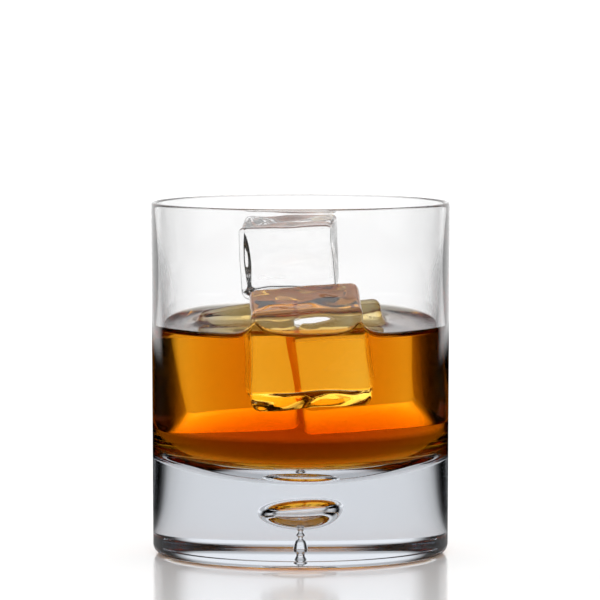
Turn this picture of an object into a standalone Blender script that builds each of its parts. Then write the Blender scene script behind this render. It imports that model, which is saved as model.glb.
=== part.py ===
"""A bubble-base whiskey tumbler holding whiskey and four ice cubes.

The glass is one turned piece: a thin, nearly upright wall on a thick solid base, whose inside floor is
a shallow bowl. A flattened bubble sits in the base, on the axis, above a small bead-shaped prick hole
that opens in the underside. The whiskey fills the bowl and the lower half of the glass, with a pocket
for each ice cube that stands in it.

Units are metres, +Z is up, the origin is the centre of the underside, and -Y is the front.
"""

import math

import bmesh
import bpy
from mathutils import Euler, Vector

MM = 0.001

# Driving dimensions of the glass.
GLASS_HEIGHT = 95.0 * MM
RIM_RADIUS = 40.3 * MM
FOOT_RADIUS = 39.9 * MM
FOOT_ROUNDING = 2.6 * MM
RIM_WALL = 1.3 * MM
BODY_WALL = 3.1 * MM
WALL_TAPER_LENGTH = 42.0 * MM
BOWL_FLOOR = 20.0 * MM
BOWL_ROUNDING = 83.0 * MM
BOWL_FILLET = 11.0 * MM

# The bubble in the base and the prick hole under it, as the places where its outline turns:
# (radius, height above the underside), from the flat top of the bubble down to the open mouth.
BUBBLE_RADIUS = 7.8 * MM
BUBBLE_TOP = 16.3 * MM
BUBBLE_WAIST = 13.2 * MM
BUBBLE_BOTTOM = 7.9 * MM
NECK_RADIUS = 0.7 * MM
PRICK_OUTLINE = [
    (0.40 * MM, 7.3 * MM),
    (0.80 * MM, 6.4 * MM),
    (0.40 * MM, 5.6 * MM),
    (0.95 * MM, 4.7 * MM),
    (1.30 * MM, 2.4 * MM),
    (0.75 * MM, 1.2 * MM),
    (1.10 * MM, 0.0 * MM),
]

# The whiskey, and the gap that keeps neighbouring pieces from touching.
LIQUID_LEVEL = 60.0 * MM
GAP = 0.3 * MM

# Ice cubes: name, size across X, Y and Z, centre, and tilt about X, Y and Z in degrees.
ICE_CUBES = [
    ("ice_cube_front", (29.2, 17.8, 28.1), (1.7, -22.3, 56.9), (16.7, -3.1, 2.0)),
    ("ice_cube_back_left", (24.4, 26.0, 27.4), (-14.0, 8.7, 48.6), (-20.5, -7.0, 0.5)),
    ("ice_cube_back_right", (24.2, 26.6, 26.8), (11.3, 8.8, 49.0), (-20.5, -6.0, 2.0)),
    ("ice_cube_top", (25.8, 21.4, 20.6), (-3.0, 6.8, 77.6), (4.2, -2.4, -5.0)),
]
STANDING_IN_WHISKEY = ("ice_cube_front", "ice_cube_back_left", "ice_cube_back_right")
ICE_FACE_CUTS = 3
ICE_EDGE_POWER = 0.4
ICE_FACE_DISH = 0.5 * MM

# Fineness of the turned pieces.
TURN_STEPS = 48
WALL_POINTS = 8
BOWL_POINTS = 5
FILLET_POINTS = 4
RIM_POINTS = 4
BUBBLE_POINTS = 5
MERGE_DISTANCE = 0.00001

# Name: (base colour, alpha, roughness, transmission).
MATERIALS = {
    "clear_glass": ((0.93, 0.95, 0.97), 0.35, 0.02, 1.0),
    "amber_whiskey": ((0.80, 0.36, 0.04), 0.80, 0.02, 1.0),
    "clear_ice": ((0.90, 0.93, 0.95), 0.45, 0.08, 1.0),
}


def clear_scene():
    for old in list(bpy.data.objects):
        bpy.data.objects.remove(old, do_unlink=True)


def make_collection(name):
    collection = bpy.data.collections.new(name)
    bpy.context.scene.collection.children.link(collection)
    return collection


def make_material(name, owner):
    """A material of its own for one object, from the table of finishes."""
    colour, alpha, roughness, transmission = MATERIALS[name]
    material = bpy.data.materials.new(f"{name}_{owner}")
    material.use_nodes = True
    shader = material.node_tree.nodes["Principled BSDF"]
    shader.inputs["Base Color"].default_value = (*colour, 1.0)
    shader.inputs["Alpha"].default_value = alpha
    shader.inputs["Roughness"].default_value = roughness
    shader.inputs["Metallic"].default_value = 0.0
    shader.inputs["Transmission Weight"].default_value = transmission
    return material


def smooth_step(share):
    share = min(max(share, 0.0), 1.0)
    return share * share * (3.0 - 2.0 * share)


def outer_radius(height):
    """The outside of the wall, which opens out very slightly towards the rim."""
    return FOOT_RADIUS + (RIM_RADIUS - FOOT_RADIUS) * height / GLASS_HEIGHT


def inner_radius(height):
    """The inside of the wall, which thickens from the rim down to the body."""
    below_rim = (GLASS_HEIGHT - height) / WALL_TAPER_LENGTH
    wall = RIM_WALL + (BODY_WALL - RIM_WALL) * smooth_step(below_rim)
    return outer_radius(height) - wall


def arc(centre, radius, start_degrees, end_degrees, count):
    """Points on an arc in the (radius, height) plane, both ends included."""
    points = []
    for step in range(count + 1):
        turn = math.radians(start_degrees + (end_degrees - start_degrees) * step / count)
        points.append((centre[0] + radius * math.cos(turn), centre[1] + radius * math.sin(turn)))
    return points


def bowl_outline(gap):
    """The inside floor, from the axis out to the foot of the wall, moved inwards by gap."""
    bowl_centre = BOWL_FLOOR + BOWL_ROUNDING
    wall_radius = inner_radius(BOWL_FLOOR + BOWL_FILLET)
    fillet_radius = wall_radius - BOWL_FILLET
    fillet_height = bowl_centre - math.sqrt((BOWL_ROUNDING - BOWL_FILLET) ** 2 - fillet_radius**2)
    meeting = -math.degrees(math.atan2(bowl_centre - fillet_height, fillet_radius))
    floor = arc((0.0, bowl_centre), BOWL_ROUNDING - gap, -90.0, meeting, BOWL_POINTS)
    floor[0] = (0.0, BOWL_FLOOR + gap)
    fillet = arc((fillet_radius, fillet_height), BOWL_FILLET - gap, meeting, 0.0, FILLET_POINTS)
    return floor + fillet[1:]


def wall_outline(bottom, top, gap):
    """The inside of the wall, from bottom up to top, moved inwards by gap."""
    heights = [bottom + (top - bottom) * step / WALL_POINTS for step in range(1, WALL_POINTS + 1)]
    return [(inner_radius(height) - gap, height) for height in heights]


def bubble_outline():
    """The bubble and its prick hole, from the open mouth in the underside up to the top."""
    lower_rise = BUBBLE_WAIST - BUBBLE_BOTTOM
    start = math.asin(NECK_RADIUS / BUBBLE_RADIUS)
    outline = list(reversed(PRICK_OUTLINE))
    for step in range(BUBBLE_POINTS + 1):
        turn = start + (math.pi / 2 - start) * step / BUBBLE_POINTS
        height = BUBBLE_WAIST - lower_rise * math.cos(turn)
        outline.append((BUBBLE_RADIUS * math.sin(turn), height))
    for step in range(1, BUBBLE_POINTS):
        turn = math.pi / 2 * (1 - step / BUBBLE_POINTS)
        height = BUBBLE_WAIST + (BUBBLE_TOP - BUBBLE_WAIST) * math.cos(turn)
        outline.append((BUBBLE_RADIUS * math.sin(turn), height))
    outline.append((0.0, BUBBLE_TOP))
    return outline


def tumbler_outline():
    """The whole glass: floor, inside wall, rim, outside wall, foot, underside and bubble."""
    bowl = bowl_outline(0.0)
    rim_round = RIM_WALL / 2
    rim_centre = (RIM_RADIUS - rim_round, GLASS_HEIGHT - rim_round)
    inside = wall_outline(bowl[-1][1], rim_centre[1], 0.0)
    inside[-1] = (rim_centre[0] - rim_round, rim_centre[1])
    rim = arc(rim_centre, rim_round, 180.0, 0.0, RIM_POINTS)[1:]
    foot_centre = (FOOT_RADIUS - FOOT_ROUNDING, FOOT_ROUNDING)
    foot = arc(foot_centre, FOOT_ROUNDING, 0.0, -90.0, FILLET_POINTS)
    return bowl + inside + rim + foot + bubble_outline()


def liquid_outline():
    """The whiskey's outline, from the middle of its surface down its side to the middle of the bowl."""
    bowl = bowl_outline(GAP)
    side = wall_outline(bowl[-1][1], LIQUID_LEVEL, GAP)
    return [(0.0, LIQUID_LEVEL)] + list(reversed(bowl + side))


def turned_piece(name, outline, material, collection):
    """A solid of revolution about Z, from an outline of (radius, height) points."""
    mesh = bpy.data.meshes.new(name)
    points = [Vector((radius, 0.0, height)) for radius, height in outline]
    mesh.from_pydata(points, [(index, index + 1) for index in range(len(points) - 1)], [])
    piece = bpy.data.objects.new(name, mesh)
    collection.objects.link(piece)
    screw = piece.modifiers.new("Turn", "SCREW")
    screw.axis = "Z"
    screw.angle = 2 * math.pi
    screw.steps = screw.render_steps = TURN_STEPS
    screw.use_merge_vertices = True
    screw.merge_threshold = MERGE_DISTANCE
    screw.use_smooth_shade = True
    mesh.materials.append(material)
    return piece


def ice_cube(name, size, centre, tilt, gap, material, collection):
    """A melted block: rounded edges and slightly dished faces. gap grows it on every side."""
    shape = bmesh.new()
    bmesh.ops.create_cube(shape, size=2.0)
    bmesh.ops.subdivide_edges(shape, edges=shape.edges[:], cuts=ICE_FACE_CUTS, use_grid_fill=True)
    half = [side * MM / 2 + gap for side in size]
    for corner in shape.verts:
        unit = [math.copysign(abs(value) ** ICE_EDGE_POWER, value) for value in corner.co]
        for axis in range(3):
            others = [unit[other] for other in range(3) if other != axis]
            middle = (1 - others[0] ** 2) * (1 - others[1] ** 2)
            on_face = abs(abs(unit[axis]) - 1.0) < 0.001
            dish = ICE_FACE_DISH * middle if on_face else 0.0
            corner.co[axis] = unit[axis] * (half[axis] - dish)
    mesh = bpy.data.meshes.new(name)
    shape.to_mesh(mesh)
    shape.free()
    mesh.shade_smooth()
    mesh.materials.append(material)
    cube = bpy.data.objects.new(name, mesh)
    cube.location = Vector(centre) * MM
    cube.rotation_euler = Euler([math.radians(angle) for angle in tilt])
    collection.objects.link(cube)
    soften = cube.modifiers.new("Soften", "SUBSURF")
    soften.levels = soften.render_levels = 1
    return cube


def cut_pocket(liquid, name, size, centre, tilt, material, collection):
    """Leaves room in the whiskey for one ice cube, with the gap all round."""
    cutter = ice_cube(f"pocket_{name}", size, centre, tilt, GAP, material, collection)
    cutter.hide_render = True
    cutter.display_type = "WIRE"
    pocket = liquid.modifiers.new(f"Pocket {name}", "BOOLEAN")
    pocket.operation = "DIFFERENCE"
    pocket.solver = "EXACT"
    pocket.object = cutter


def build():
    clear_scene()
    parts = make_collection("whiskey_tumbler")
    cutters = make_collection("cutters")
    glass = make_material("clear_glass", "tumbler")
    turned_piece("tumbler", tumbler_outline(), glass, parts)
    amber = make_material("amber_whiskey", "whiskey")
    liquid = turned_piece("whiskey", liquid_outline(), amber, parts)
    for name, size, centre, tilt in ICE_CUBES:
        ice = make_material("clear_ice", name)
        ice_cube(name, size, centre, tilt, 0.0, ice, parts)
        if name in STANDING_IN_WHISKEY:
            cut_pocket(liquid, name, size, centre, tilt, ice, cutters)


build()
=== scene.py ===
"""The looks of a bubble-base whiskey tumbler with whiskey and four ice cubes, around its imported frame.

Light passes through many clear bodies here, so each surface holds the refraction of the two materials
that meet there: glass to air or to whiskey, ice to air or to whiskey, and whiskey to air. The whiskey's
sides and the pockets around the ice don't bend light again. Each face stores its ratio of refractive
indices, and the materials read it.

Lengths are metres, +Z is up, and -Y is the front.
"""

import math

import bmesh
import bpy
import numpy as np
from mathutils import Euler, Matrix, Vector, noise


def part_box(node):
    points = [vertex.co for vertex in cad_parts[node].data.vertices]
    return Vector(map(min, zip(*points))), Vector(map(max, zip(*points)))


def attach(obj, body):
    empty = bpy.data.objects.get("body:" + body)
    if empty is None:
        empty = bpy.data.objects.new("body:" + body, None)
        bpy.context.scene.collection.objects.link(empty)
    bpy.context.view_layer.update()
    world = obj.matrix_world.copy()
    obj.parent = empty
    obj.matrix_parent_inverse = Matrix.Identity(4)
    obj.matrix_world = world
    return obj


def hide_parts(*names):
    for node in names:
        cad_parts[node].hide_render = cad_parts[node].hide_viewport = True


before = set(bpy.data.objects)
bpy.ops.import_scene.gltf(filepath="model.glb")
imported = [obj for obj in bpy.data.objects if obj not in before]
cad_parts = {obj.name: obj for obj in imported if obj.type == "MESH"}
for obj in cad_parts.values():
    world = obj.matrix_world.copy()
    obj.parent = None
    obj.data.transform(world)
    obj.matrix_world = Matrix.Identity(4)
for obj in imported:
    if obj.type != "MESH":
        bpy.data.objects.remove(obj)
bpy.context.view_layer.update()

MM = 0.001

# Refractive indices.
GLASS_INDEX = 1.5
WHISKEY_INDEX = 1.36
ICE_INDEX = 1.46

# Surfaces: (scale, stretch along X, Y and Z, depth) of faint waves, and (scale, cover, roughness) of haze.
GLASS_RELIEF = (160.0, (1.0, 1.0, 0.12), 0.003 * MM)
GLASS_HAZE = (90.0, 0.35, 0.02)
WHISKEY_RELIEF = (45.0, (1.0, 1.0, 1.0), 0.004 * MM)
ICE_RELIEF = (260.0, (1.0, 1.0, 1.0), 0.015 * MM)
ICE_HAZE = (220.0, 0.42, 0.10)

# How finely the noise of each is worked.
RELIEF_DETAIL = 2.0
HAZE_DETAIL = 4.0

# Tint of light that goes through: the part of each colour that is let through, and how dense the body is.
GLASS_TINT = (0.30, 0.42, 0.60)
GLASS_TINT_DENSITY = 5.0
WHISKEY_TINT = (0.930, 0.765, 0.20)
WHISKEY_TINT_DENSITY = 200.0

# The glass. Its height and rim come from the frame, and the rest repeats the design's dimensions.
GLASS_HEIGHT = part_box("tumbler")[1].z
RIM_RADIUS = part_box("tumbler")[1].x
FOOT_RADIUS = 39.9 * MM
FOOT_ROUNDING = 2.6 * MM
RIM_WALL = 1.3 * MM
BODY_WALL = 3.1 * MM
WALL_TAPER_LENGTH = 42.0 * MM
BOWL_FLOOR = 20.0 * MM
BOWL_ROUNDING = 83.0 * MM
BOWL_FILLET = 11.0 * MM
BUBBLE_RADIUS = 7.8 * MM
BUBBLE_TOP = 16.3 * MM
BUBBLE_WAIST = 13.2 * MM
BUBBLE_BOTTOM = 7.9 * MM
BUBBLE_CROWN = 0.9
BUBBLE_LEAN = 0.10
NECK_RADIUS = 0.7 * MM
PRICK_OUTLINE = [
    (1.10 * MM, 0.0 * MM),
    (0.75 * MM, 1.2 * MM),
    (1.30 * MM, 2.4 * MM),
    (0.95 * MM, 4.7 * MM),
    (0.40 * MM, 5.6 * MM),
    (0.80 * MM, 6.4 * MM),
    (0.40 * MM, 7.3 * MM),
    (NECK_RADIUS, BUBBLE_BOTTOM),
]

# The whiskey: its level, the gap that its sides keep from what they wet, and how its surface climbs.
LIQUID_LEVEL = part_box("whiskey")[1].z
FILM = 0.03 * MM
CAPILLARY_LENGTH = 1.75 * MM
CLIMB_END = 0.002 * MM
CLIMB_POINTS = 400
CLIMB_LIMIT = 8.0 * MM
CLIMB_ROUNDS = 8
NARROWEST_GAP = 0.3 * MM
# The stretch of the wall whose rows of points shift so that one of them follows the wet edge.
CONTACT_LOW = 45.0 * MM
CONTACT_HIGH = 80.0 * MM
FLARE_POWER = 8

# Ice cubes: node, body, size, tilt in degrees, and how each has melted: the rounding of its edges at the
# bottom and at the top, the dish of its faces and its waves, all in mm, and the seed of its waves.
ICE_CUBES = [
    ("ice_cube_front", "front_ice", (29.2, 17.8, 28.1), (16.7, -3.1, 2.0),
     {"rounding": (2.6, 2.2), "dish": 0.5, "wave": 0.55, "swirl": 0.45, "seed": 3.0}),
    ("ice_cube_back_left", "back_left_ice", (24.4, 26.0, 27.4), (-20.5, -7.0, 0.5),
     {"rounding": (2.0, 2.6), "dish": 0.5, "wave": 0.35, "swirl": 0.10, "seed": 11.0}),
    ("ice_cube_back_right", "back_right_ice", (24.2, 26.6, 26.8), (-20.5, -6.0, 2.0),
     {"rounding": (2.0, 2.4), "dish": 0.5, "wave": 0.35, "swirl": 0.10, "seed": 23.0}),
    ("ice_cube_top", "top_ice", (25.8, 21.4, 20.6), (4.2, -2.4, -5.0),
     {"rounding": (2.6, 1.9), "dish": 0.8, "wave": 0.60, "swirl": 0.20, "seed": 37.0}),
]
STANDING_IN_WHISKEY = ("ice_cube_front", "ice_cube_back_left", "ice_cube_back_right")
ICE_CUTS = 39
ICE_ROUNDING = 2.4 * MM
ICE_WAVE_LENGTH = 11.0 * MM
ICE_RIPPLE_LENGTH = 4.0 * MM
ICE_RIPPLE_SHARE = 0.12
ICE_SWIRL_LENGTH = 6.5 * MM

# Fineness of the turned pieces: steps round the axis, and steps along each stretch of the outlines.
TURN_STEPS = 256
BOWL_STEPS = 28
FILLET_STEPS = 14
WET_WALL_STEPS = 40
DRY_WALL_STEPS = 60
ROUND_STEPS = 12
PRICK_STEPS = 6
BUBBLE_STEPS = 24
SURFACE_RINGS = 110
SURFACE_CROWDING = 1.35
MERGE_DISTANCE = 0.00001
SHARP_EDGE_DEGREES = 35

# How close a point lies to a surface that it is on.
TOLERANCE = 0.002 * MM

# The camera.
CAMERA_PLACE = (-0.13 * MM, -1330.0 * MM, 163.0 * MM)
CAMERA_AIM = (-0.13 * MM, 0.0, 68.4 * MM)
CAMERA_LENS_MM = 296.0
CAMERA_REACH = 20.0
SENSOR_MM = 36.0

# The studio. Each curve is a list of (place, strength) points. Azimuths are in degrees from straight
# behind the glass, elevations in degrees, and distances on the floor in mm from the glass's axis.
BACKDROP_SEEN = 1.2
BACKDROP_MIRRORED = [(0, 1.2), (38, 1.2), (46, 0.0), (180, 0.0)]
BACKDROP_BEHIND = [(0, 1.12), (28, 1.12), (36, 1.0), (42, 0.5), (47, 0.08), (52, 0.0)]
BACKDROP_MIRRORED_INSIDE = BACKDROP_BEHIND + [(180, 0.0)]
BACKDROP_THROUGH_GLASS = BACKDROP_BEHIND + [(70, 0.0), (84, 0.9), (180, 1.0)]
RISE_THROUGH_GLASS = [(-90, 1.0), (11, 1.0), (15, 0.80), (19, 0.55), (90, 0.55)]
RISE_THROUGH_WET_ICE = [(-90, 1.15), (3, 1.2), (8, 2.2), (16, 2.6), (24, 1.6), (40, 1.2), (90, 1.2)]
CEILING_RISE = (0.80, 0.92)
CEILING_STRENGTH = 1.1
FLOOR_COLOUR = (0.97, 0.97, 0.97)
FLOOR_ROUGHNESS = 0.12
FLOOR_GAP = 0.1 * MM
FLOOR_RADIUS = 3.0
FLOOR_SIDES = 128
# Painted shade on the floor for light that has passed through the glass: darker on each side of it, by
# azimuth.
FLOOR_SIDE_SHADE = [
    (0, 0.92), (25, 0.87), (34, 0.80), (41, 0.68), (45, 0.47), (49, 0.16), (53, 0.03), (57, 0.0),
    (64, 0.03), (75, 0.5), (86, 0.85), (180, 0.92),
]
# Painted shade: the floor's colour in the glass's mirror images, dark everywhere and faintly lighter near
# the glass.
FLOOR_MIRRORED_SHADE = [(0, 0.40), (60, 0.30), (120, 0.04), (200, 0.0), (950, 0.0)]
# Painted shade around the glass and painted light further out, for light that has been through the
# whiskey, by distance.
FLOOR_SHADE_AND_LIGHT_THROUGH_WHISKEY = [(0, 0.90), (44, 0.80), (58, 0.42), (110, 0.45), (160, 1.20), (950, 1.25)]
FLOOR_END_MIRRORED = (700.0, 950.0)
FLOOR_END_THROUGH_GLASS = (270.0, 330.0)
# How many surfaces light has to pass before it has been through the whiskey, and through ice in it.
WHISKEY_CROSSINGS = 5.5
WET_ICE_CROSSINGS = 7.5


# ---------------------------------------------------------------- shape of the glass and the whiskey


def smooth_step(share):
    share = np.clip(share, 0.0, 1.0)
    return share * share * (3.0 - 2.0 * share)


def outer_radius(height):
    return FOOT_RADIUS + (RIM_RADIUS - FOOT_RADIUS) * height / GLASS_HEIGHT


def inner_radius(height):
    below_rim = (GLASS_HEIGHT - height) / WALL_TAPER_LENGTH
    return outer_radius(height) - (RIM_WALL + (BODY_WALL - RIM_WALL) * smooth_step(below_rim))


def arc(centre, radius, start_degrees, end_degrees, count):
    """Points on an arc in the (radius, height) plane, both ends included."""
    points = []
    for i in range(count + 1):
        turn = math.radians(start_degrees + (end_degrees - start_degrees) * i / count)
        points.append((centre[0] + radius * math.cos(turn), centre[1] + radius * math.sin(turn)))
    return points


def flowing_line(points, per_span):
    """A smooth line through the points (Catmull-Rom), with per_span steps between neighbours."""
    ends = [points[0]] + list(points) + [points[-1]]
    line = []
    for before, start, end, after in zip(ends, ends[1:], ends[2:], ends[3:]):
        for step in range(per_span):
            t = step / per_span
            weights = (
                (-t + 2 * t**2 - t**3) / 2,
                (2 - 5 * t**2 + 3 * t**3) / 2,
                (t + 4 * t**2 - 3 * t**3) / 2,
                (-(t**2) + t**3) / 2,
            )
            group = (before, start, end, after)
            line.append(tuple(sum(w * p[axis] for w, p in zip(weights, group)) for axis in (0, 1)))
    return line + [points[-1]]


def bowl_outline(gap):
    """The inside floor, from the axis out to the foot of the wall, moved inwards by gap."""
    bowl_centre = BOWL_FLOOR + BOWL_ROUNDING
    wall_radius = inner_radius(BOWL_FLOOR + BOWL_FILLET)
    fillet_radius = wall_radius - BOWL_FILLET
    fillet_height = bowl_centre - math.sqrt((BOWL_ROUNDING - BOWL_FILLET) ** 2 - fillet_radius**2)
    meeting = -math.degrees(math.atan2(bowl_centre - fillet_height, fillet_radius))
    floor = arc((0.0, bowl_centre), BOWL_ROUNDING - gap, -90.0, meeting, BOWL_STEPS)
    floor[0] = (0.0, BOWL_FLOOR + gap)
    fillet = arc((fillet_radius, fillet_height), BOWL_FILLET - gap, meeting, 0.0, FILLET_STEPS)
    return floor + fillet[1:]


def wall_outline(bottom, top, gap, count):
    """The inside of the wall, from bottom up to top, moved inwards by gap."""
    heights = [bottom + (top - bottom) * (i + 1) / count for i in range(count)]
    return [(inner_radius(height) - gap, height) for height in heights]


def bubble_outline():
    """The prick hole and the bubble, from the mouth in the underside up to the bubble's top."""
    outline = flowing_line(PRICK_OUTLINE, PRICK_STEPS)
    start = math.asin(NECK_RADIUS / BUBBLE_RADIUS)
    for i in range(1, BUBBLE_STEPS + 1):
        turn = start + (math.pi / 2 - start) * i / BUBBLE_STEPS
        height = BUBBLE_WAIST - (BUBBLE_WAIST - BUBBLE_BOTTOM) * math.cos(turn)
        outline.append((BUBBLE_RADIUS * math.sin(turn), height))
    for i in range(1, BUBBLE_STEPS):
        turn = math.pi / 2 * (1 - i / BUBBLE_STEPS)
        height = BUBBLE_WAIST + (BUBBLE_TOP - BUBBLE_WAIST) * math.cos(turn)
        outline.append((BUBBLE_RADIUS * math.sin(turn) ** BUBBLE_CROWN, height))
    return outline + [(0.0, BUBBLE_TOP)]


def tumbler_outline():
    """The whole glass: bowl, inside wall, rim, outside wall, foot, underside and bubble."""
    bowl = bowl_outline(0.0)
    round_off = RIM_WALL / 2
    rim_centre = (RIM_RADIUS - round_off, GLASS_HEIGHT - round_off)
    lower = wall_outline(bowl[-1][1], LIQUID_LEVEL, 0.0, WET_WALL_STEPS)
    upper = wall_outline(LIQUID_LEVEL, rim_centre[1], 0.0, DRY_WALL_STEPS)
    upper[-1] = (rim_centre[0] - round_off, rim_centre[1])
    rim = arc(rim_centre, round_off, 180.0, 0.0, ROUND_STEPS)[1:]
    foot_centre = (FOOT_RADIUS - FOOT_ROUNDING, FOOT_ROUNDING)
    foot = arc(foot_centre, FOOT_ROUNDING, 0.0, -90.0, ROUND_STEPS)
    return bowl + lower + upper + rim + foot + bubble_outline()


def whiskey_outline():
    """From the middle of the surface out to the wall, down it, and along the bowl back to the axis."""
    bowl = bowl_outline(FILM)
    side = wall_outline(bowl[-1][1], LIQUID_LEVEL, FILM, WET_WALL_STEPS)
    edge = side[-1][0]
    shares = [1 - (1 - i / SURFACE_RINGS) ** SURFACE_CROWDING for i in range(SURFACE_RINGS)]
    return [(edge * share, LIQUID_LEVEL) for share in shares] + list(reversed(bowl + side))


def turned_mesh(name, outline):
    """The mesh of a solid of revolution about Z."""
    profile = bpy.data.meshes.new(name)
    points = [(radius, 0.0, height) for radius, height in outline]
    profile.from_pydata(points, [(i, i + 1) for i in range(len(points) - 1)], [])
    turned = bpy.data.objects.new(name, profile)
    bpy.context.scene.collection.objects.link(turned)
    screw = turned.modifiers.new("Turn", "SCREW")
    screw.axis = "Z"
    screw.steps = screw.render_steps = TURN_STEPS
    screw.use_merge_vertices = True
    screw.merge_threshold = MERGE_DISTANCE
    mesh = evaluated_mesh(turned)
    bpy.data.objects.remove(turned)
    return mesh


def evaluated_mesh(obj):
    graph = bpy.context.evaluated_depsgraph_get()
    return bpy.data.meshes.new_from_object(obj.evaluated_get(graph))


def points_of(mesh):
    points = np.empty(len(mesh.vertices) * 3)
    mesh.vertices.foreach_get("co", points)
    return points.reshape(-1, 3)


def move_points(mesh, points):
    mesh.vertices.foreach_set("co", points.ravel())
    mesh.update()


def new_object(name, mesh):
    obj = bpy.data.objects.new(name, mesh)
    bpy.context.scene.collection.objects.link(obj)
    return obj


# ---------------------------------------------------------------- ice shape


def ice_pose(node, tilt):
    """The place and turn of a cube: its centre is its CAD node's centre."""
    low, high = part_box(node)
    turn = Euler([math.radians(angle) for angle in tilt]).to_matrix().to_4x4()
    return Matrix.Translation((low + high) / 2) @ turn


def distance_to_ice(x, y, z, size, pose):
    """Distance from points to a rounded block, negative inside."""
    points = np.stack(np.broadcast_arrays(x, y, z), axis=-1)
    inverse = np.array(pose.inverted())
    local = points @ inverse[:3, :3].T + inverse[:3, 3]
    half = np.array(size) * MM / 2
    beyond = np.abs(local) - (half - ICE_ROUNDING)
    outside = np.linalg.norm(np.maximum(beyond, 0.0), axis=-1)
    return outside + np.minimum(beyond.max(axis=-1), 0.0) - ICE_ROUNDING


def meniscus_table():
    """Distance from a wetted upright wall, and the liquid's height there above its level."""
    contact = math.sqrt(2) * CAPILLARY_LENGTH
    height = np.geomspace(contact, CLIMB_END, CLIMB_POINTS)
    ratio = height / CAPILLARY_LENGTH
    reach = np.arccosh(2 / ratio) - np.sqrt(4 - ratio**2)
    return CAPILLARY_LENGTH * (reach - reach[0]), height


MENISCUS = meniscus_table()


def meniscus(distance):
    """The height to which the whiskey climbs at this distance from one wall."""
    return np.interp(distance, *MENISCUS, right=0.0)


def climb_in_gap(width):
    """The further rise in a gap of this width, because the walls of the gap share their liquid."""
    flatness = 1 - (meniscus(width) / CAPILLARY_LENGTH) ** 2 / 2
    return 2 * CAPILLARY_LENGTH**2 * np.sqrt(1 - flatness**2) / np.maximum(width, NARROWEST_GAP)


def edge_height(x, y):
    """How far the whiskey's surface stands above its level at (x, y)."""
    x, y = np.asarray(x, float), np.asarray(y, float)
    radius = np.hypot(x, y)
    standing = [cube for cube in ICE_CUBES if cube[0] in STANDING_IN_WHISKEY]
    poses = [(size, ice_pose(node, tilt)) for node, _, size, tilt, _ in standing]
    rise = np.zeros_like(x)
    for _ in range(CLIMB_ROUNDS):
        wall = np.maximum(inner_radius(LIQUID_LEVEL + rise) - radius, 0.0)
        total = meniscus(wall)
        climb = np.zeros_like(x)
        for size, pose in poses:
            ice = np.maximum(distance_to_ice(x, y, LIQUID_LEVEL + rise, size, pose), 0.0)
            total = total + meniscus(ice)
            climb = np.maximum(climb, climb_in_gap(wall + ice))
        rise = (rise + np.minimum(total + climb, CLIMB_LIMIT)) / 2
    return rise


def ice_mesh(name, size, pose, look, grow=0.0):
    """A melted block: rounded edges, dished and wavy faces, and swirls in its top and bottom."""
    shape = bmesh.new()
    bmesh.ops.create_cube(shape, size=2.0)
    bmesh.ops.subdivide_edges(shape, edges=shape.edges[:], cuts=ICE_CUTS, use_grid_fill=True)
    mesh = bpy.data.meshes.new(name)
    shape.to_mesh(mesh)
    shape.free()
    half = np.array(size) * MM / 2
    spread = np.sin(points_of(mesh) * math.pi / 2) * half
    low, high = look["rounding"]
    rounding = (low + (high - low) * smooth_step(spread[:, 2] / (2 * half[2]) + 0.5)) * MM
    reach = half - rounding[:, None]
    core = np.clip(spread, -reach, reach)
    outward = spread - core
    outward /= np.linalg.norm(outward, axis=1)[:, None]
    points = core + outward * rounding[:, None]
    flat = 1 - (points / half) ** 2
    for axis in range(3):
        other = flat[:, (axis + 1) % 3] * flat[:, (axis + 2) % 3]
        points[:, axis] -= outward[:, axis] * look["dish"] * MM * other
    seed = look["seed"]
    waves = []
    for point, upright in zip(points, np.abs(outward[:, 2])):
        broad = noise.noise(Vector(point / ICE_WAVE_LENGTH) + Vector((seed, 0, 0)))
        fine = noise.noise(Vector(point / ICE_RIPPLE_LENGTH) + Vector((0, seed, 0)))
        swirl = noise.noise(Vector(point / ICE_SWIRL_LENGTH) + Vector((0, 0, seed)))
        waves.append(look["wave"] * (broad + ICE_RIPPLE_SHARE * fine) + look["swirl"] * upright * swirl)
    points += outward * (np.array(waves)[:, None] * MM + grow)
    matrix = np.array(pose)
    move_points(mesh, points @ matrix[:3, :3].T + matrix[:3, 3])
    return mesh


# ---------------------------------------------------------------- refraction of each face


def store_index(mesh, values):
    """Stores the ratio of refractive indices of each face."""
    attribute = mesh.attributes.new("relative_index", "FLOAT", "FACE")
    attribute.data.foreach_set("value", np.asarray(values, np.float32))


def above_surface(points):
    return points[:, 2] - LIQUID_LEVEL - edge_height(points[:, 0], points[:, 1])


def split_at_waterline(mesh):
    """Cuts the faces that cross the whiskey's surface along it."""
    heights = above_surface(points_of(mesh))
    shape = bmesh.new()
    shape.from_mesh(mesh)
    shape.verts.ensure_lookup_table()
    crossing = [e for e in shape.edges if heights[e.verts[0].index] * heights[e.verts[1].index] < 0]
    parts = [(e, e.verts[0], heights[e.verts[0].index], heights[e.verts[1].index]) for e in crossing]
    added = [bmesh.utils.edge_split(e, start, low / (low - high))[1] for e, start, low, high in parts]
    bmesh.ops.connect_verts(shape, verts=added)
    shape.to_mesh(mesh)
    shape.free()


def face_centres(mesh):
    centres = np.empty(len(mesh.polygons) * 3)
    mesh.polygons.foreach_get("center", centres)
    return centres.reshape(-1, 3)


# ---------------------------------------------------------------- materials


def new_material(name):
    """A material, its node tree and its shader."""
    material = bpy.data.materials.new(name)
    material.use_nodes = True
    return material, material.node_tree, material.node_tree.nodes["Principled BSDF"]


def feed(tree, socket, value):
    """Gives a socket a number or another node's output."""
    if isinstance(value, (int, float)):
        socket.default_value = value
    else:
        tree.links.new(value, socket)


def link_math(tree, operation, *values):
    """A Math node in tree, whose inputs are numbers or other nodes' outputs."""
    node = tree.nodes.new("ShaderNodeMath")
    node.operation = operation
    for socket, value in zip(node.inputs, values):
        feed(tree, socket, value)
    return node.outputs[0]


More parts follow.
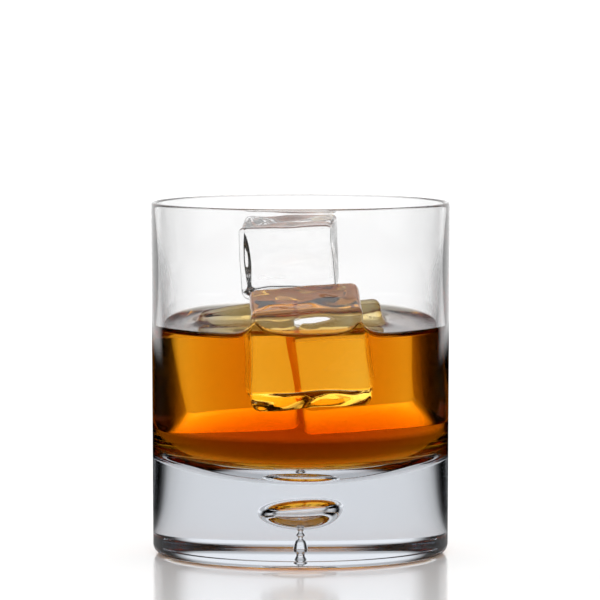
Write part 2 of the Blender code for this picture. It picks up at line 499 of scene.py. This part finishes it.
def link_step(tree, value, start, end):
    """0 before start, 1 after end, and a smooth rise between them."""
    node = tree.nodes.new("ShaderNodeMapRange")
    node.interpolation_type = "SMOOTHSTEP"
    node.inputs["From Min"].default_value = start
    node.inputs["From Max"].default_value = end
    tree.links.new(value, node.inputs["Value"])
    return node.outputs["Result"]


def link_noise(tree, scale, detail, stretch=(1.0, 1.0, 1.0)):
    """Noise in the object's own space, stretched along its axes."""
    place = tree.nodes.new("ShaderNodeTexCoord")
    mapping = tree.nodes.new("ShaderNodeMapping")
    mapping.inputs["Scale"].default_value = stretch
    texture = tree.nodes.new("ShaderNodeTexNoise")
    texture.inputs["Scale"].default_value = scale
    texture.inputs["Detail"].default_value = detail
    tree.links.new(place.outputs["Object"], mapping.inputs["Vector"])
    tree.links.new(mapping.outputs["Vector"], texture.inputs["Vector"])
    return texture.outputs["Fac"]


def clear_material(name, index, relief, haze=None, dry_above=None):
    """A clear body whose faces say how much they bend light.

    relief is the scale, stretch and depth of faint waves in its surface. haze is the scale of dull
    patches, how much of the surface they cover, and their roughness. Above the height dry_above, every
    face bends light as it does in air, so a piece that is lifted out of the whiskey comes out dry."""
    material, tree, shader = new_material(name)
    shader.inputs["Base Color"].default_value = (1.0, 1.0, 1.0, 1.0)
    shader.inputs["Roughness"].default_value = 0.0
    shader.inputs["Transmission Weight"].default_value = 1.0
    shader.inputs["IOR"].default_value = index
    ratio = tree.nodes.new("ShaderNodeAttribute")
    ratio.attribute_name = "relative_index"
    bend = ratio.outputs["Fac"]
    if dry_above is not None:
        geometry = tree.nodes.new("ShaderNodeNewGeometry")
        split = tree.nodes.new("ShaderNodeSeparateXYZ")
        tree.links.new(geometry.outputs["Position"], split.inputs[0])
        lifted = link_math(tree, "GREATER_THAN", split.outputs["Z"], dry_above)
        bend = link_choice(tree, lifted, bend, index)
    tree.links.new(bend, shader.inputs["IOR"])
    scale, stretch, depth = relief
    bump = tree.nodes.new("ShaderNodeBump")
    bump.inputs["Distance"].default_value = depth
    tree.links.new(link_noise(tree, scale, RELIEF_DETAIL, stretch), bump.inputs["Height"])
    tree.links.new(bump.outputs["Normal"], shader.inputs["Normal"])
    if haze:
        scale, cover, roughness = haze
        patches = link_step(tree, link_noise(tree, scale, HAZE_DETAIL), 1.0 - cover, 1.0)
        tree.links.new(link_math(tree, "MULTIPLY", patches, roughness), shader.inputs["Roughness"])
    return material


def absorb(material, colour, density):
    """Tints light by how far it goes inside the body."""
    tree = material.node_tree
    volume = tree.nodes.new("ShaderNodeVolumeAbsorption")
    volume.inputs["Color"].default_value = (*colour, 1.0)
    volume.inputs["Density"].default_value = density
    tree.links.new(volume.outputs["Volume"], tree.nodes["Material Output"].inputs["Volume"])


# ---------------------------------------------------------------- pieces


def place_piece(name, mesh, material, body, node):
    """Makes a piece that stands for a CAD node and moves with its body."""
    mesh.materials.clear()
    mesh.materials.append(material)
    mesh.shade_smooth()
    mesh.set_sharp_from_angle(angle=math.radians(SHARP_EDGE_DEGREES))
    piece = new_object(name, mesh)
    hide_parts(node)
    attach(piece, body)
    return piece


def follow_edge(points, gap):
    """Moves the wall's points up so that the row at the level follows the whiskey's wet edge.

    gap is how far inside the wall the points lie. Gives back which points are the wall's."""
    radius = np.hypot(points[:, 0], points[:, 1])
    on_wall = np.abs(radius - inner_radius(points[:, 2]) + gap) < TOLERANCE
    on_wall &= (points[:, 2] > CONTACT_LOW) & (points[:, 2] < CONTACT_HIGH)
    wall = points[on_wall]
    around = np.arctan2(wall[:, 1], wall[:, 0])
    contact = inner_radius(LIQUID_LEVEL)
    rise = edge_height(contact * np.cos(around), contact * np.sin(around))
    below = (wall[:, 2] - CONTACT_LOW) / (LIQUID_LEVEL - CONTACT_LOW)
    above = (CONTACT_HIGH - wall[:, 2]) / (CONTACT_HIGH - LIQUID_LEVEL)
    wall[:, 2] += rise * np.minimum(below, above)
    new_radius = inner_radius(wall[:, 2]) - gap
    wall[:, 0] = new_radius * np.cos(around)
    wall[:, 1] = new_radius * np.sin(around)
    points[on_wall] = wall
    return on_wall


def build_glass():
    """The tumbler. The bubble in its base leans a little to one side."""
    mesh = turned_mesh("tumbler_glass", tumbler_outline())
    points = points_of(mesh)
    original = face_centres(mesh)
    radius = np.hypot(original[:, 0], original[:, 1])
    inside = radius < outer_radius(original[:, 2]) - RIM_WALL / 2
    wet = inside & (original[:, 2] > (BUBBLE_TOP + BOWL_FLOOR) / 2) & (original[:, 2] < LIQUID_LEVEL)
    follow_edge(points, 0.0)
    in_bubble = points[:, 2] < BUBBLE_TOP + TOLERANCE
    in_bubble &= np.hypot(points[:, 0], points[:, 1]) < BUBBLE_RADIUS + TOLERANCE
    weight = smooth_step((points[:, 2] - BUBBLE_BOTTOM) / (BUBBLE_WAIST - BUBBLE_BOTTOM))
    points[in_bubble, 2] += (points[:, 0] * BUBBLE_LEAN * weight)[in_bubble]
    move_points(mesh, points)
    store_index(mesh, np.where(wet, GLASS_INDEX / WHISKEY_INDEX, GLASS_INDEX))
    glass = clear_material("clear_glass", GLASS_INDEX, GLASS_RELIEF, GLASS_HAZE)
    absorb(glass, GLASS_TINT, GLASS_TINT_DENSITY)
    return place_piece("tumbler_glass", mesh, glass, "glass", "tumbler")


def cut_pockets(mesh):
    """The whiskey's mesh with a pocket for each cube that stands in it."""
    fill = new_object("whiskey_uncut", mesh)
    helpers = [fill]
    for node, _, size, tilt, look in ICE_CUBES:
        if node in STANDING_IN_WHISKEY:
            pocket = ice_mesh(f"pocket_{node}", size, ice_pose(node, tilt), look, grow=FILM)
            for material in mesh.materials:
                pocket.materials.append(material)
            pocket.polygons.foreach_set("material_index", np.ones(len(pocket.polygons), np.int32))
            cut = fill.modifiers.new(node, "BOOLEAN")
            cut.operation = "DIFFERENCE"
            cut.solver = "MANIFOLD"
            cut.object = new_object(f"pocket_{node}", pocket)
            helpers.append(cut.object)
    cut_mesh = evaluated_mesh(fill)
    for helper in helpers:
        bpy.data.objects.remove(helper)
    return cut_mesh


def build_whiskey():
    """The whiskey. Its open surface bends light, and its sides leave that to the glass and the ice."""
    mesh = turned_mesh("whiskey_fill", whiskey_outline())
    surface = face_centres(mesh)[:, 2] > LIQUID_LEVEL - TOLERANCE
    points = points_of(mesh)
    top = points[:, 2] > LIQUID_LEVEL - TOLERANCE
    on_wall = follow_edge(points, FILM)
    free = top & ~on_wall
    x, y = points[free, 0], points[free, 1]
    rise = edge_height(x, y)
    edge = inner_radius(LIQUID_LEVEL) - FILM
    flare = (inner_radius(LIQUID_LEVEL + rise) - FILM) / edge - 1
    outwards = 1 + flare * (np.hypot(x, y) / edge) ** FLARE_POWER
    points[free, 0], points[free, 1] = x * outwards, y * outwards
    points[free, 2] += rise
    move_points(mesh, points)
    for name in ("surface", "sides"):
        mesh.materials.append(bpy.data.materials.new(name))
    mesh.polygons.foreach_set("material_index", np.where(surface, 0, 1).astype(np.int32))
    mesh = cut_pockets(mesh)
    sides = np.empty(len(mesh.polygons), np.int32)
    mesh.polygons.foreach_get("material_index", sides)
    store_index(mesh, np.where(sides == 0, WHISKEY_INDEX, 1.0))
    mesh.polygons.foreach_set("material_index", np.zeros(len(sides), np.int32))
    amber = clear_material("amber_whiskey", WHISKEY_INDEX, WHISKEY_RELIEF)
    absorb(amber, WHISKEY_TINT, WHISKEY_TINT_DENSITY)
    return place_piece("whiskey_fill", mesh, amber, "glass", "whiskey")


def build_ice(node, body, size, tilt, look):
    """One ice cube, whose faces below the whiskey's surface bend light less."""
    mesh = ice_mesh(f"{node}_ice", size, ice_pose(node, tilt), look)
    if node in STANDING_IN_WHISKEY:
        split_at_waterline(mesh)
        wet = above_surface(face_centres(mesh)) < 0
        store_index(mesh, np.where(wet, ICE_INDEX / WHISKEY_INDEX, ICE_INDEX))
    else:
        store_index(mesh, np.full(len(mesh.polygons), ICE_INDEX))
    dry_above = LIQUID_LEVEL + CLIMB_LIMIT
    ice = clear_material(f"clear_ice_{node}", ICE_INDEX, ICE_RELIEF, ICE_HAZE, dry_above)
    return place_piece(f"{node}_ice", mesh, ice, body, node)


# ---------------------------------------------------------------- studio


def link_curve(tree, value, points):
    """A number that follows the (value, result) points, with straight lines between them."""
    low, high = points[0][0], points[-1][0]
    ramp = tree.nodes.new("ShaderNodeValToRGB")
    elements = ramp.color_ramp.elements
    for element, (place, level) in zip(elements, (points[0], points[-1])):
        element.position, element.color = (place - low) / (high - low), (level, level, level, 1.0)
    for place, level in points[1:-1]:
        elements.new((place - low) / (high - low)).color = (level, level, level, 1.0)
    share = link_math(tree, "DIVIDE", link_math(tree, "SUBTRACT", value, low), high - low)
    tree.links.new(share, ramp.inputs["Fac"])
    return ramp.outputs["Color"]


def link_choice(tree, when, otherwise, chosen):
    """One of two numbers: chosen where when is 1."""
    mix = tree.nodes.new("ShaderNodeMix")
    tree.links.new(when, mix.inputs["Factor"])
    feed(tree, mix.inputs["A"], otherwise)
    feed(tree, mix.inputs["B"], chosen)
    return mix.outputs["Result"]


def link_shaders(tree, when, otherwise, chosen):
    """One of two shaders: chosen where when is 1."""
    mix = tree.nodes.new("ShaderNodeMixShader")
    tree.links.new(when, mix.inputs["Fac"])
    tree.links.new(otherwise.outputs[0], mix.inputs[1])
    tree.links.new(chosen.outputs[0], mix.inputs[2])
    return mix


def link_azimuth(tree, split):
    """Degrees from straight behind the glass, to either side, for a separated direction or place."""
    across = link_math(tree, "ABSOLUTE", split.outputs["X"])
    return link_math(tree, "DEGREES", link_math(tree, "ARCTAN2", across, split.outputs["Y"]))


def floor_material():
    """A glossy white floor, dimmer around the glass and on each side of it for light that has passed
    through it, as painted shade, with painted light further out where that light has been through the
    whiskey.

    Mirrored in the glass it is dark, as painted shade. What has passed through the glass sees the floor
    only near it, and the backdrop past that."""
    material, tree, shader = new_material("pale_floor_painted_shade")
    shader.inputs["Base Color"].default_value = (*FLOOR_COLOUR, 1.0)
    shader.inputs["Roughness"].default_value = FLOOR_ROUGHNESS
    place = tree.nodes.new("ShaderNodeTexCoord")
    length = tree.nodes.new("ShaderNodeVectorMath")
    length.operation = "LENGTH"
    tree.links.new(place.outputs["Object"], length.inputs[0])
    millimetres = link_math(tree, "DIVIDE", length.outputs["Value"], MM)
    split = tree.nodes.new("ShaderNodeSeparateXYZ")
    tree.links.new(place.outputs["Object"], split.inputs[0])
    path = tree.nodes.new("ShaderNodeLightPath")
    # Painted shade: the floor is darker on each side of the glass for light that has passed through it.
    width = link_curve(tree, link_azimuth(tree, split), FLOOR_SIDE_SHADE)
    # Painted shade around the glass and painted light further out, on the floor seen through the whiskey.
    in_whiskey = link_math(tree, "GREATER_THAN", path.outputs["Transmission Depth"], WHISKEY_CROSSINGS)
    painted_shade = link_choice(tree, in_whiskey, 1.0, link_curve(tree, millimetres, FLOOR_SHADE_AND_LIGHT_THROUGH_WHISKEY))
    painted_shade = link_math(tree, "MULTIPLY", painted_shade, width)
    # Painted shade: the floor is dark in the glass's mirror images.
    mirrored = link_curve(tree, millimetres, FLOOR_MIRRORED_SHADE)
    plain = tree.nodes.new("ShaderNodeBsdfDiffuse")
    through = path.outputs["Is Transmission Ray"]
    tree.links.new(link_choice(tree, through, mirrored, painted_shade), plain.inputs["Color"])
    end_mirrored = link_step(tree, millimetres, *FLOOR_END_MIRRORED)
    end_through = link_step(tree, millimetres, *FLOOR_END_THROUGH_GLASS)
    ended = link_choice(tree, through, end_mirrored, end_through)
    clear = tree.nodes.new("ShaderNodeBsdfTransparent")
    unseen = link_shaders(tree, ended, plain, clear)
    lighting = link_shaders(tree, path.outputs["Is Diffuse Ray"], unseen, shader)
    seen = link_shaders(tree, path.outputs["Is Camera Ray"], lighting, shader)
    tree.links.new(seen.outputs[0], tree.nodes["Material Output"].inputs["Surface"])
    return material


def build_floor():
    bpy.ops.mesh.primitive_circle_add(
        vertices=FLOOR_SIDES, radius=FLOOR_RADIUS, fill_type="NGON", location=(0, 0, -FLOOR_GAP)
    )
    floor = bpy.context.object
    floor.name = "studio_floor"
    floor.data.materials.append(floor_material())


def build_world():
    """A white backdrop, a bright ceiling and a dark gap on each side, which draws the glass's edges.

    What is seen directly and what lights the floor is plain white. The mirror images in the glass
    hold only the backdrop behind it and the ceiling."""
    world = bpy.data.worlds.new("studio")
    bpy.context.scene.world = world
    world.use_nodes = True
    tree = world.node_tree
    tree.nodes.clear()
    place = tree.nodes.new("ShaderNodeTexCoord")
    split = tree.nodes.new("ShaderNodeSeparateXYZ")
    tree.links.new(place.outputs["Generated"], split.inputs[0])
    azimuth = link_azimuth(tree, split)
    elevation = link_math(tree, "DEGREES", link_math(tree, "ARCSINE", split.outputs["Z"]))
    ceiling = link_step(tree, split.outputs["Z"], *CEILING_RISE)
    path = tree.nodes.new("ShaderNodeLightPath")
    reflected = link_math(tree, "GREATER_THAN", path.outputs["Glossy Depth"], 0.5)
    through = link_choice(
        tree, reflected, link_curve(tree, azimuth, BACKDROP_THROUGH_GLASS),
        link_curve(tree, azimuth, BACKDROP_MIRRORED_INSIDE),
    )
    in_ice = link_math(tree, "GREATER_THAN", path.outputs["Transmission Depth"], WET_ICE_CROSSINGS)
    rise = link_choice(
        tree, in_ice, link_curve(tree, elevation, RISE_THROUGH_GLASS),
        link_curve(tree, elevation, RISE_THROUGH_WET_ICE),
    )
    through = link_math(tree, "MULTIPLY", through, rise)
    mirrored = link_curve(tree, azimuth, BACKDROP_MIRRORED)
    strength = link_choice(tree, path.outputs["Is Transmission Ray"], mirrored, through)
    strength = link_choice(tree, ceiling, strength, CEILING_STRENGTH)
    strength = link_choice(tree, path.outputs["Is Diffuse Ray"], strength, 1.0)
    strength = link_choice(tree, path.outputs["Is Camera Ray"], strength, BACKDROP_SEEN)
    background = tree.nodes.new("ShaderNodeBackground")
    background.inputs["Color"].default_value = (1.0, 1.0, 1.0, 1.0)
    tree.links.new(strength, background.inputs["Strength"])
    output = tree.nodes.new("ShaderNodeOutputWorld")
    tree.links.new(background.outputs[0], output.inputs["Surface"])


def build_camera():
    camera = bpy.data.objects.new("camera", bpy.data.cameras.new("camera"))
    bpy.context.scene.collection.objects.link(camera)
    camera.data.lens = CAMERA_LENS_MM
    camera.data.sensor_width = SENSOR_MM
    camera.data.clip_end = CAMERA_REACH
    camera.location = CAMERA_PLACE
    aim = Vector(CAMERA_AIM) - Vector(CAMERA_PLACE)
    camera.rotation_euler = aim.to_track_quat("-Z", "Y").to_euler()
    bpy.context.scene.camera = camera


def set_light_paths():
    scene = bpy.context.scene
    scene.view_settings.view_transform = "Standard"
    scene.cycles.max_bounces = 40
    scene.cycles.transmission_bounces = 40
    scene.cycles.glossy_bounces = 20
    scene.cycles.diffuse_bounces = 3
    scene.cycles.transparent_max_bounces = 40
    scene.cycles.caustics_refractive = True
    scene.cycles.caustics_reflective = True
    scene.cycles.blur_glossy = 0.0
    scene.cycles.use_denoising = True


build_camera()
build_floor()
build_world()
set_light_paths()
build_glass()
build_whiskey()
for cube in ICE_CUBES:
    build_ice(*cube)
